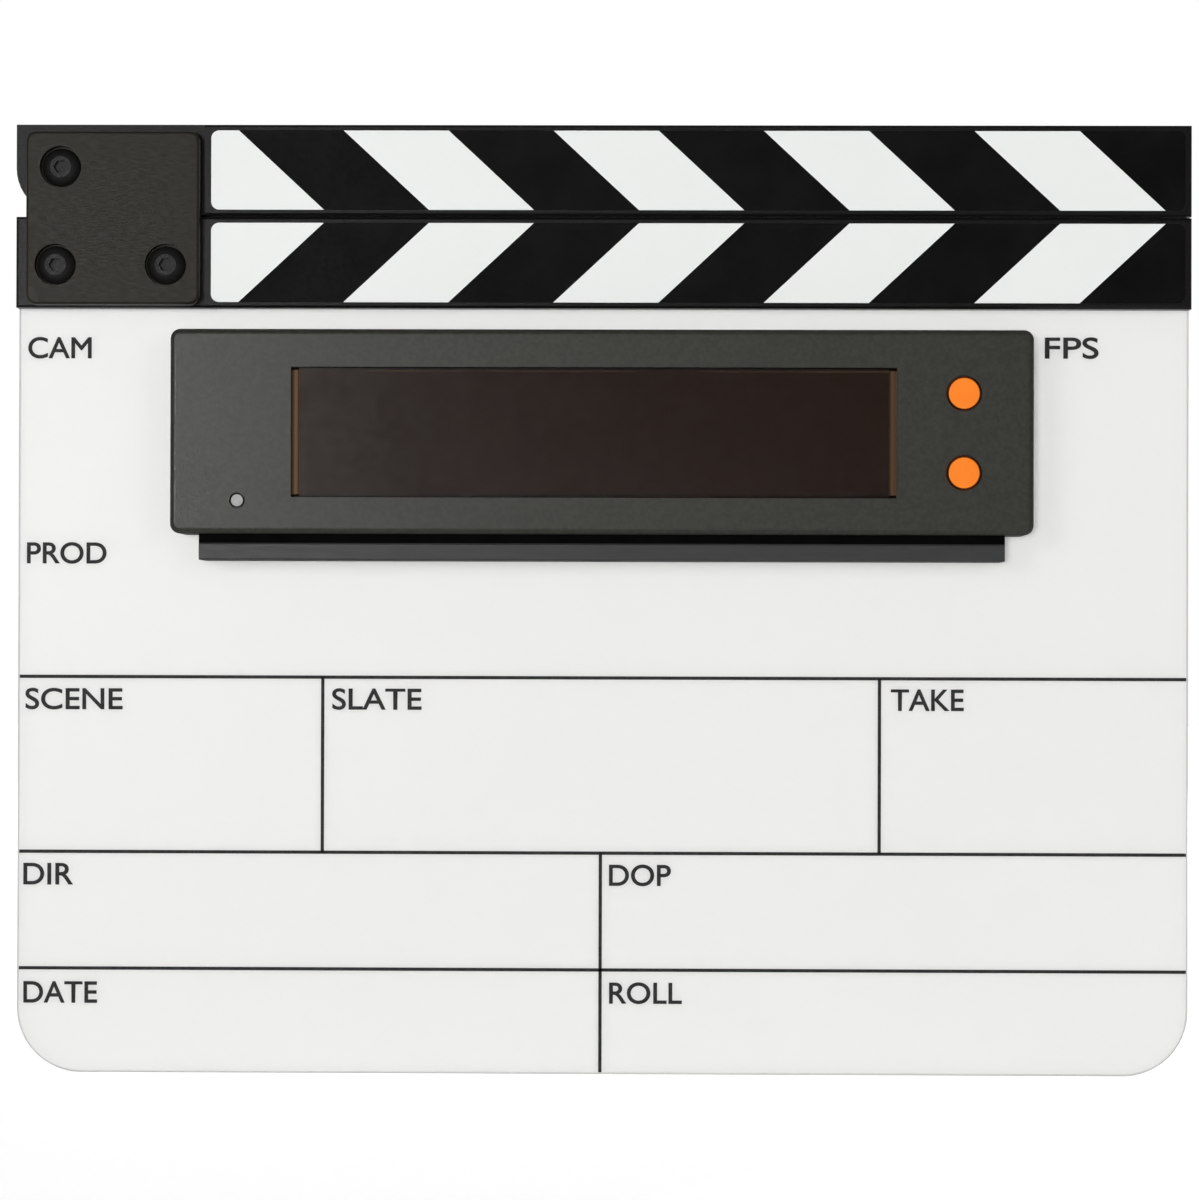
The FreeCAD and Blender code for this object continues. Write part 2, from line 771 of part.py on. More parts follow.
def button_screw(name, across, up):
    """Domed socket screw from the front plate's counterbore to the back of the rear plate."""
    body = new_body(name)
    sketch = sketch_on(body, "XY_Plane")
    shank = of.hinge_screw_radius
    length = plate_front - head_recess - plate_back
    head = of.hinge_head_radius
    tip = length - of.screw_point
    rim = of.hinge_head_height * HEAD_RIM_SHARE
    crown = (head * HEAD_TOP_SHARE, -of.hinge_head_height)
    corners = [(ZERO, -of.hinge_head_height), crown, (head, -rim), (head, ZERO), (shank, ZERO)]
    corners += [(shank, tip), (shank - of.screw_point, length), (ZERO, length)]
    outline(sketch, corners, {1: of.hinge_head_dome})
    revolve(body, sketch)
    socket = front_sketch(body, of.hinge_head_height)
    hexagon(socket, of.hinge_socket_width)
    pocket(body, socket, of.hinge_socket_depth)
    place(body, across, plate_front - head_recess, up)
    return body


def flat_screw(name, across, up, back, shank, head, length):
    """Countersunk socket screw that enters from behind, its head flush at a depth."""
    body = new_body(name)
    sketch = sketch_on(body, "XY_Plane")
    cone = head - shank
    corners = [(ZERO, -length), (shank - of.screw_point, -length), (shank, of.screw_point - length)]
    outline(sketch, corners + [(shank, -cone), (head, ZERO), (ZERO, ZERO)])
    revolve(body, sketch)
    socket = front_sketch(body, ZERO)
    hexagon(socket, shank)
    pocket(body, socket, cone, True)
    place(body, across, back, up)
    return body


def hinge_bearing():
    """Bush of the upper bar and the thrust washers on both sides of its tongue."""
    tongue_back = bar_back + of.washer_thickness
    tongue = of.bar_depth - of.washer_thickness * 2
    bush = ring("pivot_bush", pivot_x, tongue_back, pivot_z, bush_inner, bush_outer, tongue)
    hole = of.hinge_screw_radius + of.screw_clearance
    levels = (bar_back, tongue_back + tongue)
    washers = [
        ring(f"washer_{index}", pivot_x, level, pivot_z, hole, of.washer_radius, of.washer_thickness)
        for index, level in enumerate(levels)
    ]
    return [bush, group("pivot_washers", washers)]


def display_bracket():
    """Angle that carries the display unit: an upright on the board and a ledge below the unit."""
    body = new_body("display_bracket")
    profile = sketch_on(body, "YZ_Plane")
    corners = [(-ledge_front, ledge_bottom), (-board_front, ledge_bottom), (-board_front, bracket_top)]
    corners += [(-bracket_front, bracket_top), (-bracket_front, ledge_top)]
    outline(profile, corners + [(-ledge_front, ledge_top)])
    pad(body, profile, bracket_width, midplane=True)
    tapped = front_sketch(body, bracket_front)
    for across, up in bracket_screw_spots:
        circle(tapped, across, up, of.bracket_screw_radius + of.thread_clearance)
    pocket(body, tapped, of.bracket_thickness)
    head = sketch_on(body, "XY_Plane", ledge_bottom)
    circle(head, ZERO, -camera_depth, of.camera_head_radius + of.camera_head_clearance)
    pocket(body, head, of.camera_head_height + of.camera_head_sink, True)
    shank = sketch_on(body, "XY_Plane", ledge_bottom)
    circle(shank, ZERO, -camera_depth, of.camera_screw_radius + of.screw_clearance)
    pocket(body, shank, of.ledge_height, True)

    def ledge_edges(edge):
        return near(edge.Length, bracket_width.value) and near(edge.BoundBox.YMin, -ledge_front.value)
    chamfer(body, of.bracket_edge_chamfer, ledge_edges)
    return body


def seat_pad():
    """Rubber strip on the ledge that the display unit stands on."""
    half = bracket_width / 2
    front = ledge_front - of.seat_pad_setback
    back = bracket_front + of.seat_clearance
    body = new_body("seat_pad")
    sketch = sketch_on(body, "XY_Plane", ledge_top)
    rectangle(sketch, -half, half, -front, -back)
    circle(sketch, ZERO, -camera_depth, of.camera_screw_radius + of.screw_clearance)
    pad(body, sketch, of.seat_pad_height)
    return body


def camera_screw():
    """Low-headed camera screw that holds the display unit down on the ledge."""
    body = new_body("camera_screw")
    sketch = front_sketch(body, ZERO)
    low = ledge_bottom + of.camera_head_sink
    seat = low + of.camera_head_height
    tip = unit_bottom + of.camera_screw_reach
    shank = of.camera_screw_radius
    head = of.camera_head_radius
    corners = [(ZERO, low), (head, low), (head, seat), (shank, seat), (shank, tip - of.screw_point)]
    outline(sketch, corners + [(shank - of.screw_point, tip), (ZERO, tip)])
    revolve(body, sketch)
    socket = sketch_on(body, "XY_Plane", low)
    hexagon(socket, of.camera_socket_width)
    pocket(body, socket, of.camera_socket_depth, True)
    place(body, ZERO, camera_depth, ZERO)
    return body


def upright_rod(name, radius, bottom, length):
    """A vertical cylinder on the camera screw's axis."""
    thing = doc.addObject("Part::Cylinder", name)
    thing.setExpression("Radius", radius.text)
    thing.setExpression("Height", length.text)
    place(thing, ZERO, camera_depth, bottom)
    return thing


def tripod_insert():
    """Threaded insert in the display unit's underside."""
    sleeve = upright_rod("insert_body", of.insert_radius, unit_bottom, of.insert_height)
    bore = of.camera_screw_radius + of.thread_clearance
    length = of.insert_height + of.overrun * 2
    hole = upright_rod("insert_bore", bore, unit_bottom - of.overrun, length)
    return cut("tripod_insert", sleeve, hole)


def front_housing():
    """Front shell of the display unit, with its window, button and socket openings and bosses."""
    body = new_body("front_housing")
    sketch = front_sketch(body, cover_front)
    rectangle(sketch, unit_left, unit_right, unit_bottom, unit_top)
    pad(body, sketch, unit_front - cover_front)
    spots = [(across, up) for across in (unit_left, unit_right) for up in (unit_bottom, unit_top)]
    fillet(body, of.unit_corner_radius, edge_along_depth(spots))
    fillet(body, of.unit_edge_fillet, edge_at_depth(unit_front))
    cavity = front_sketch(body, cover_front)
    rectangle(cavity, cavity_left, cavity_right, cavity_bottom, cavity_top)
    pocket(body, cavity, front_inside - cover_front, True)
    bosses = front_sketch(body, cover_front)
    for across, up in boss_spots:
        circle(bosses, across, up, of.boss_radius)
    pad(body, bosses, unit_front - cover_front - of.front_wall / 2)
    posts = front_sketch(body, pcb_front)
    for across, up in post_spots:
        circle(posts, across, up, of.post_radius)
    pad(body, posts, unit_front - pcb_front - of.front_wall / 2)
    block = front_sketch(body, cover_front)
    block_foot = unit_bottom + of.housing_wall / 2
    rectangle(block, -insert_boss_half, insert_boss_half, block_foot, insert_boss_top)
    pad(body, block, insert_boss_front - cover_front)
    openings = front_sketch(body, unit_front)
    centred_rectangle(openings, window_x, window_z, of.window_width, of.window_height)
    for up in (button_low, button_high):
        circle(openings, button_x, up, of.button_radius + of.button_gap)
    circle(openings, light_x, light_z, of.light_radius + of.light_gap)
    pocket(body, openings, of.front_wall)
    screw_holes = front_sketch(body, cover_front)
    for across, up in boss_spots:
        circle(screw_holes, across, up, of.cover_screw_radius + of.thread_clearance)
    pocket(body, screw_holes, of.cover_screw_length, True)
    insert_hole = sketch_on(body, "XY_Plane", unit_bottom)
    circle(insert_hole, ZERO, -camera_depth, of.insert_radius + of.seat_clearance)
    pocket(body, insert_hole, of.insert_height, True)
    sockets = sketch_on(body, "YZ_Plane", unit_right)
    room = of.socket_clearance * 2
    centred_rectangle(sockets, -usb_depth, usb_z, of.usb_height + room, of.usb_width + room)
    circle(sockets, -jack_depth, jack_z, of.jack_nose_radius + of.socket_clearance)
    pocket(body, sockets, of.housing_wall)
    return body


def rear_cover():
    """Flat back of the display unit."""
    body = new_body("rear_cover")
    sketch = front_sketch(body, unit_back)
    rectangle(sketch, unit_left, unit_right, unit_bottom, unit_top)
    pad(body, sketch, of.cover_thickness)
    spots = [(across, up) for across in (unit_left, unit_right) for up in (unit_bottom, unit_top)]
    fillet(body, of.unit_corner_radius, edge_along_depth(spots))
    holes = front_sketch(body, cover_front)
    hole_radius = of.cover_screw_radius + of.screw_clearance
    for across, up in boss_spots:
        circle(holes, across, up, hole_radius)
    pocket(body, holes, of.cover_thickness)
    sink = of.cover_screw_head_radius - of.cover_screw_radius
    chamfer(body, sink, edge_at_depth(unit_back, hole_radius))
    chamfer(body, of.cover_edge_chamfer, edge_at_depth(unit_back))
    return body


def display_window():
    """Tinted window: a flange behind the front wall and a raised pane with bevelled ends."""
    body = new_body("display_window")
    width = of.window_width - of.window_gap * 2
    height = of.window_height - of.window_gap * 2
    rim = of.window_flange * 2
    flange = front_sketch(body, window_back)
    centred_rectangle(flange, window_x, window_z, width + rim, height + rim)
    pad(body, flange, of.window_flange_thickness)
    pane = front_sketch(body, window_back)
    centred_rectangle(pane, window_x, window_z, width, height)
    pad(body, pane, unit_front - of.window_sink - window_back)

    def end_edges(edge):
        box = edge.BoundBox
        flat = near(box.YMin, of.window_sink.value - unit_front.value) and near(box.YMax, box.YMin)
        return flat and near(box.XMin, box.XMax)
    chamfer(body, of.window_bevel, end_edges)
    return body


def box(name, left, depth, bottom, width, thickness, height):
    """A block that runs from a depth towards the viewer."""
    thing = doc.addObject("Part::Box", name)
    thing.setExpression("Length", width.text)
    thing.setExpression("Width", thickness.text)
    thing.setExpression("Height", height.text)
    place(thing, left, depth + thickness, bottom)
    return thing


def digit_modules():
    """Row of two-digit light modules on the circuit board, behind the window."""
    row = of.window_width - of.module_end_margin * 2
    pitch = (row + of.module_gap) / MODULES
    width = pitch - of.module_gap
    height = of.window_height - of.module_rim * 2
    start = window_x - row / 2
    bottom = window_z - height / 2
    modules = [
        box(f"module_{index}", start + pitch * index, pcb_front, bottom, width, of.module_depth, height)
        for index in range(MODULES)
    ]
    return group("digit_modules", modules)


def circuit_board():
    """Circuit board, cut away round the four bosses and the insert's block."""
    body = new_body("circuit_board")
    sketch = front_sketch(body, pcb_back)
    left = cavity_left + of.pcb_margin
    right = cavity_right - of.pcb_margin
    bottom = cavity_bottom + of.pcb_margin
    top = cavity_top - of.pcb_margin
    clear = of.boss_inset + of.boss_radius + of.pcb_margin
    left_in = unit_left + clear
    right_in = unit_right - clear
    low_in = unit_bottom + clear
    high_in = unit_top - clear
    notch = insert_boss_half + of.pcb_margin
    notch_top = insert_boss_top + of.pcb_margin
    corners = [(left_in, bottom), (-notch, bottom), (-notch, notch_top), (notch, notch_top)]
    corners += [(notch, bottom), (right_in, bottom), (right_in, low_in), (right, low_in)]
    corners += [(right, high_in), (right_in, high_in), (right_in, top), (left_in, top)]
    outline(sketch, corners + [(left_in, high_in), (left, high_in), (left, low_in), (left_in, low_in)])
    pad(body, sketch, of.pcb_thickness)
    return body


def battery_pack():
    """Flat battery on the inside of the rear cover."""
    body = new_body("battery_pack")
    sketch = front_sketch(body, cover_front)
    half = of.battery_width / 2
    bottom = insert_boss_top + of.battery_lift
    top = cavity_top - of.battery_margin
    rectangle(sketch, -half, half, bottom, top)
    pad(body, sketch, of.battery_thickness)
    spots = [(-half, bottom), (half, bottom), (half, top), (-half, top)]
    fillet(body, of.battery_edge, edge_along_depth(spots))
    return body


def push_button(label, up):
    """Round button with a flange behind the front wall and a stem to its switch."""
    body = new_body(label)
    sketch = sketch_on(body, "XY_Plane")
    cap = of.button_radius
    flange = cap + of.button_flange
    front = -(of.front_wall + of.button_proud)
    edge = of.button_edge
    stem_end = front_inside - pcb_front - of.switch_height - of.plunger_proud
    stem = of.button_stem_radius
    corners = [(ZERO, front), (cap - edge, front), (cap, front + edge), (cap, ZERO), (flange, ZERO)]
    corners += [(flange, of.button_flange_thickness), (stem, of.button_flange_thickness)]
    outline(sketch, corners + [(stem, stem_end), (ZERO, stem_end)], {1: edge})
    revolve(body, sketch)
    place(body, button_x, front_inside, up)
    return body


def switch_plunger(label, up):
    """Plunger of one switch, which the button's stem rests on."""
    length = of.plunger_proud + of.plunger_seat
    switch_top = pcb_front + of.switch_height
    thing = rod(label, button_x, switch_top - of.plunger_seat, up, of.plunger_radius, length)
    thing.Label = label
    return thing


def switch_bodies():
    """The two switch bodies on the circuit board, each with the bore of its plunger."""
    width = of.switch_width
    room = of.plunger_seat + of.button_travel + of.plunger_clearance
    bodies = []
    for name, up in (("upper", button_high), ("lower", button_low)):
        left = button_x - width / 2
        case = box(f"{name}_case", left, pcb_front, up - width / 2, width, of.switch_height, width)
        floor = pcb_front + of.switch_height - room
        bore_radius = of.plunger_radius + of.plunger_clearance
        bore = rod(f"{name}_bore", button_x, floor, up, bore_radius, room + of.overrun)
        bodies.append(cut(f"{name}_switch", case, bore))
    return group("switch_bodies", bodies)


def light_guide():
    """Clear pin that carries the status light from the circuit board to the front."""
    body = new_body("light_guide")
    sketch = sketch_on(body, "XY_Plane")
    pin = of.light_radius
    flange = pin + of.light_flange
    end = front_inside - pcb_front - of.lamp_height
    corners = [(ZERO, -of.front_wall), (pin, -of.front_wall), (pin, ZERO), (flange, ZERO)]
    corners += [(flange, of.light_flange_thickness), (pin, of.light_flange_thickness)]
    outline(sketch, corners + [(pin, end), (ZERO, end)])
    revolve(body, sketch)
    place(body, light_x, front_inside, light_z)
    return body


def status_lamp():
    """Lamp under the light guide."""
    width = of.lamp_width
    left = light_x - width / 2
    lamp = box("status_lamp", left, pcb_front, light_z - width / 2, width, of.lamp_height, width)
    lamp.Label = "status_lamp"
    return lamp


def usb_socket():
    """Charging socket in the right-hand end: a thin shell with a tongue inside."""
    body = new_body("usb_socket")
    end = unit_right - of.usb_length
    sketch = sketch_on(body, "YZ_Plane", end)
    centred_rectangle(sketch, -usb_depth, usb_z, of.usb_height, of.usb_width)
    pad(body, sketch, of.usb_length)
    hollow = sketch_on(body, "YZ_Plane", unit_right)
    walls = of.usb_wall * 2
    centred_rectangle(hollow, -usb_depth, usb_z, of.usb_height - walls, of.usb_width - walls)
    pocket(body, hollow, of.usb_hollow)
    root = (of.usb_length - of.usb_hollow) / 2
    tongue = sketch_on(body, "YZ_Plane", end + root)
    centred_rectangle(tongue, -usb_depth, usb_z, of.usb_tongue_thickness, of.usb_tongue_width)
    pad(body, tongue, of.usb_tongue_length + root)
    return body


def jack_socket():
    """Timecode socket in the right-hand end: a block with a round nose and a bore."""
    body = new_body("jack_socket")
    sketch = sketch_on(body, "YZ_Plane", cavity_right - of.jack_length)
    centred_rectangle(sketch, -jack_depth, jack_z, of.jack_height, of.jack_width)
    pad(body, sketch, of.jack_length)
    nose = sketch_on(body, "YZ_Plane", cavity_right - of.pcb_margin / 2)
    circle(nose, -jack_depth, jack_z, of.jack_nose_radius)
    pad(body, nose, of.pcb_margin / 2 + of.housing_wall)
    bore = sketch_on(body, "YZ_Plane", unit_right)
    circle(bore, -jack_depth, jack_z, of.jack_bore_radius)
    pocket(body, bore, of.jack_bore_depth)
    return body


sub_parts = [writing_board(), lower_stick(), upper_stick()]
sub_parts += stripes("lower", lower_bottom, lower_top, lean_low=False)
sub_parts += stripes("upper", upper_bottom, upper_top, lean_low=True)
sub_parts += [front_hinge_plate(), rear_hinge_plate()]
pivot, *low_screws = [button_screw("pivot_screw", *spot) for spot in hinge_spots]
sub_parts += [pivot, group("hinge_screws", low_screws)]
sub_parts += hinge_bearing()
sub_parts.append(group("stick_screws", [
    flat_screw("stick_screw", *spot, bar_back, of.stick_screw_radius, of.stick_screw_head_radius,
               stick_screw_length)
    for spot in stick_screw_spots
]))
sub_parts += [display_bracket(), seat_pad(), camera_screw(), tripod_insert()]
sub_parts.append(group("bracket_screws", [
    flat_screw("bracket_screw", *spot, -board_front, of.bracket_screw_radius, of.bracket_screw_head_radius,
               bracket_screw_length)
    for spot in bracket_screw_spots
]))
sub_parts += [front_housing(), rear_cover(), display_window()]
sub_parts += [digit_modules(), circuit_board(), battery_pack()]
sub_parts.append(group("cover_screws", [
    flat_screw("cover_screw", *spot, unit_back, of.cover_screw_radius, of.cover_screw_head_radius,
               of.cover_screw_length)
    for spot in boss_spots
]))
for side, height in (("upper", button_high), ("lower", button_low)):
    sub_parts += [push_button(f"{side}_button", height), switch_plunger(f"{side}_plunger", height)]
sub_parts += [switch_bodies(), light_guide(), status_lamp(), usb_socket(), jack_socket()]
doc.recompute()

for item in doc.Objects:
    if "Invalid" in item.State or "Error" in item.State:
        raise ValueError(f"{item.Label} failed: {item.State}")
for item in sub_parts:
    if item.Shape.isNull() or not item.Shape.isValid():
        raise ValueError(f"{item.Label} has no valid shape")
for item in sub_parts:
    item.Shape.exportStep(f"parts/{item.Label}.step")
    print(item.Label, len(item.Shape.Solids), round(item.Shape.Volume, 1))
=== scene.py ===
"""Looks of the clapperboard: its finishes, its printed form, the light and the camera.

Every length is in metres unless its name says otherwise, in the frame of the solids: X runs to the
right, Z runs up, the writing side faces -Y, and the origin is the middle of the board's bottom edge.
"""

import logging
import math
from dataclasses import dataclass, field
from enum import Enum
from typing import ClassVar

import bmesh
import bpy
from mathutils import Euler, Matrix, Vector


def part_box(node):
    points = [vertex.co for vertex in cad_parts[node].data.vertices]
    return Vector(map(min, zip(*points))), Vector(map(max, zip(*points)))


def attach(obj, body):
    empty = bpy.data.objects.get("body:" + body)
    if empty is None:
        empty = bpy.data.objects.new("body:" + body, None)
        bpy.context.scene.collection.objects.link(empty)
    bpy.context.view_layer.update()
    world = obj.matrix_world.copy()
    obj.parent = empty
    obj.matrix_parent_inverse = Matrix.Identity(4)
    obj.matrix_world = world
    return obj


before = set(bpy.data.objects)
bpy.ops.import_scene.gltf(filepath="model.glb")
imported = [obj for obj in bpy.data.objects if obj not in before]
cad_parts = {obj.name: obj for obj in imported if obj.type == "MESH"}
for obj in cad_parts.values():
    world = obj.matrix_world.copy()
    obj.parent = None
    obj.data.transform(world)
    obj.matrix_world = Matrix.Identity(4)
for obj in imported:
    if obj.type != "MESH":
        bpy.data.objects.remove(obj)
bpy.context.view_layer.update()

LOG = logging.getLogger("clapperboard")
MM = 0.001
WHITE = (1.0, 1.0, 1.0, 1.0)
MERGE_DISTANCE = 1e-7
# A mix node has sockets of the same name for each kind of value, so those for colours go by number.
MIX_COLOURS = (6, 7)
MIX_RESULT = 2

Colour = tuple[float, float, float]
Point = tuple[float, float, float]


class Body(Enum):
    """The body that the added pieces ride on."""

    BOARD = "board"


class Axis(Enum):
    """An axis of the object, by its place in a vector."""

    X = 0
    Y = 1
    Z = 2


class Nodes:
    """A node tree, with short calls that add nodes and join them."""

    def __init__(self, tree: bpy.types.NodeTree) -> None:
        """Starts with the node that gives places.

        Args:
            tree: the nodes of a material or of the world.
        """
        self.tree = tree
        self.places = self.add("ShaderNodeTexCoord")

    def add(self, kind: str, **settings: object) -> bpy.types.Node:
        """Adds a node.

        Args:
            kind: the node's type name.
            settings: properties set on the node.

        Returns:
            The new node.
        """
        node = self.tree.nodes.new(kind)
        for name, value in settings.items():
            setattr(node, name, value)
        return node

    def join(self, source: bpy.types.NodeSocket, target: bpy.types.NodeSocket) -> None:
        """Links an output to an input."""
        self.tree.links.new(source, target)

    def put(self, value: object, target: bpy.types.NodeSocket) -> None:
        """Links a socket to an input, or sets the input to a constant."""
        if isinstance(value, bpy.types.NodeSocket):
            self.join(value, target)
        else:
            target.default_value = value

    def along(self, axis: Axis, coordinate: str = "Object") -> bpy.types.NodeSocket:
        """One part of a place or of a direction.

        Args:
            axis: which part it is.
            coordinate: what it is a part of: Object, Normal or, in the sky, Generated.

        Returns:
            The socket that gives the value.
        """
        node = self.add("ShaderNodeSeparateXYZ")
        self.join(self.places.outputs[coordinate], node.inputs["Vector"])
        return node.outputs[axis.value]

    def span(self, value: bpy.types.NodeSocket, start: float, end: float,
             low: float = 0.0, high: float = 1.0) -> bpy.types.NodeSocket:
        """Maps a value smoothly from one span to another.

        Args:
            value: what is mapped.
            start: the value that gives low.
            end: the value that gives high.
            low: the result at the start.
            high: the result at the end.

        Returns:
            The socket that gives the result.
        """
        node = self.add("ShaderNodeMapRange", interpolation_type="SMOOTHSTEP")
        for name, number in (("From Min", start), ("From Max", end), ("To Min", low), ("To Max", high)):
            node.inputs[name].default_value = number
        self.join(value, node.inputs["Value"])
        return node.outputs["Result"]

    def math(self, operation: str, *values: object) -> bpy.types.NodeSocket:
        """One sum of sockets and numbers.

        Args:
            operation: the name of the sum, such as MULTIPLY.
            values: sockets or numbers, in order.

        Returns:
            The socket that gives the result.
        """
        node = self.add("ShaderNodeMath", operation=operation)
        for place, value in enumerate(values):
            self.put(value, node.inputs[place])
        return node.outputs["Value"]


class Graph(Nodes):
    """The nodes of one material."""

    bevel_samples: int = 4
    flat_dot: float = 0.995
    edge_dot: float = 0.88

    def __init__(self, name: str) -> None:
        """Starts a material with its shader.

        Args:
            name: the material's name.
        """
        self.material = bpy.data.materials.new(name)
        self.material.use_nodes = True
        super().__init__(self.material.node_tree)
        self.shader = next(node for node in self.tree.nodes if node.type == "BSDF_PRINCIPLED")

    def stretched(self, stretch: Point) -> bpy.types.NodeSocket:
        """Object coordinates scaled along the axes, so that a pattern runs along one of them."""
        mapping = self.add("ShaderNodeMapping")
        mapping.inputs["Scale"].default_value = stretch
        self.join(self.places.outputs["Object"], mapping.inputs["Vector"])
        return mapping.outputs["Vector"]

    def noise(self, size: float, detail: float, stretch: Point = (1, 1, 1)) -> bpy.types.NodeSocket:
        """Cloudy values from 0 to 1.

        Args:
            size: the width of one cloud.
            detail: how many finer layers it has.
            stretch: scale along each axis.

        Returns:
            The socket that gives the value.
        """
        node = self.add("ShaderNodeTexNoise")
        node.inputs["Scale"].default_value = 1.0 / size
        node.inputs["Detail"].default_value = detail
        self.join(self.stretched(stretch), node.inputs["Vector"])
        return node.outputs["Fac"]

    def facing(self, axis: Axis) -> bpy.types.NodeSocket:
        """How squarely a face looks along an axis of the object, either way."""
        return self.math("ABSOLUTE", self.along(axis, "Normal"))

    def mix(self, share: bpy.types.NodeSocket, one: object, other: object) -> bpy.types.NodeSocket:
        """Blends two colours.

        Args:
            share: how much of the other colour shows.
            one: a colour or a socket.
            other: a colour or a socket.

        Returns:
            The socket that gives the colour.
        """
        node = self.add("ShaderNodeMix", data_type="RGBA")
        self.join(share, node.inputs["Factor"])
        for place, value in zip(MIX_COLOURS, (one, other)):
            colour = value if isinstance(value, bpy.types.NodeSocket) else (*value, 1.0)
            self.put(colour, node.inputs[place])
        return node.outputs[MIX_RESULT]

    def edges(self, radius: float) -> bpy.types.NodeSocket:
        """A value that rises from 0 on flat faces to 1 on edges.

        Args:
            radius: how far from an edge it reaches.

        Returns:
            The socket that gives the value.
        """
        bevel = self.add("ShaderNodeBevel", samples=self.bevel_samples)
        bevel.inputs["Radius"].default_value = radius
        geometry = self.add("ShaderNodeNewGeometry")
        dot = self.add("ShaderNodeVectorMath", operation="DOT_PRODUCT")
        self.join(bevel.outputs["Normal"], dot.inputs[0])
        self.join(geometry.outputs["Normal"], dot.inputs[1])
        return self.span(dot.outputs["Value"], self.flat_dot, self.edge_dot)

    def bump(self, height: bpy.types.NodeSocket, depth: float) -> bpy.types.NodeSocket:
        """A bumped normal.

        Args:
            height: values from 0 to 1.
            depth: the height of the bumps.

        Returns:
            The socket that gives the normal.
        """
        node = self.add("ShaderNodeBump")
        node.inputs["Distance"].default_value = depth
        self.join(height, node.inputs["Height"])
        return node.outputs["Normal"]

    def set(self, **values: object) -> None:
        """Sets constant inputs of the shader; underscores in the names stand for spaces."""
        for name, value in values.items():
            self.shader.inputs[name.replace("_", " ")].default_value = value


@dataclass(frozen=True)
class Finish:
    """A surface finish: a mottled colour, an uneven gloss, a fine grain and worn edges."""

    cloud_detail: ClassVar[float] = 4.0
    noise_span: ClassVar[tuple[float, float]] = (0.3, 0.7)
    grain_detail: ClassVar[float] = 2.0
    scuff_size: ClassVar[float] = 3 * MM
    scuff_detail: ClassVar[float] = 5.0
    scuff_span: ClassVar[tuple[float, float]] = (0.35, 0.65)
    scuff_least: ClassVar[float] = 0.25
    side_facing: ClassVar[tuple[float, float]] = (0.9, 0.5)

    name: str
    colour: Colour
    roughness: float
    mottle: float = 0.12
    mottle_size: float = 6 * MM
    gloss_spread: float = 0.08
    grain_size: float = 0.5 * MM
    grain_depth: float = 0.02 * MM
    grain_stretch: Point = (1, 1, 1)
    specular: float = 0.5
    metallic: float = 0.0
    coat: float = 0.0
    wear: float = 0.0
    wear_colour: Colour = (0.2, 0.2, 0.19)
    wear_reach: float = 0.5 * MM
    scatter: float = 0.0
    scatter_reach: float = 0.0
    side_roughness: float = 0.0

    def tint(self, graph: Graph) -> bpy.types.NodeSocket:
        """The colour all over the piece.

        Args:
            graph: the material's nodes.

        Returns:
            The socket that gives the colour.
        """
        clouds = graph.noise(self.mottle_size, self.cloud_detail, self.grain_stretch)
        dark = tuple(value * (1 - self.mottle) for value in self.colour)
        light = tuple(min(value * (1 + self.mottle), 1.0) for value in self.colour)
        return graph.mix(graph.span(clouds, *self.noise_span), dark, light)

    def build(self) -> bpy.types.Material:
        """Makes the material.

        Returns:
            The finished material.
        """
        graph = Graph(self.name)
        colour = self.tint(graph)
        if self.wear:
            spots = graph.noise(self.scuff_size, self.scuff_detail)
            scuffs = graph.span(spots, *self.scuff_span, self.scuff_least, 1.0)
            share = graph.math("MULTIPLY", graph.edges(self.wear_reach), scuffs)
            colour = graph.mix(graph.math("MULTIPLY", share, self.wear), colour, self.wear_colour)
        graph.join(colour, graph.shader.inputs["Base Color"])
        grain = graph.noise(self.grain_size, self.grain_detail, self.grain_stretch)
        rough = graph.span(grain, *self.noise_span, self.roughness - self.gloss_spread,
                           self.roughness + self.gloss_spread)
        if self.side_roughness:
            sides = graph.span(graph.facing(Axis.Y), *self.side_facing, 0.0, self.side_roughness)
            rough = graph.math("MAXIMUM", rough, sides)
        graph.join(rough, graph.shader.inputs["Roughness"])
        graph.join(graph.bump(grain, self.grain_depth), graph.shader.inputs["Normal"])
        graph.set(Metallic=self.metallic, Specular_IOR_Level=self.specular, Coat_Weight=self.coat)
        graph.set(Subsurface_Weight=self.scatter, Subsurface_Scale=self.scatter_reach,
                  Subsurface_Radius=(1.0, 1.0, 1.0))
        return graph.material


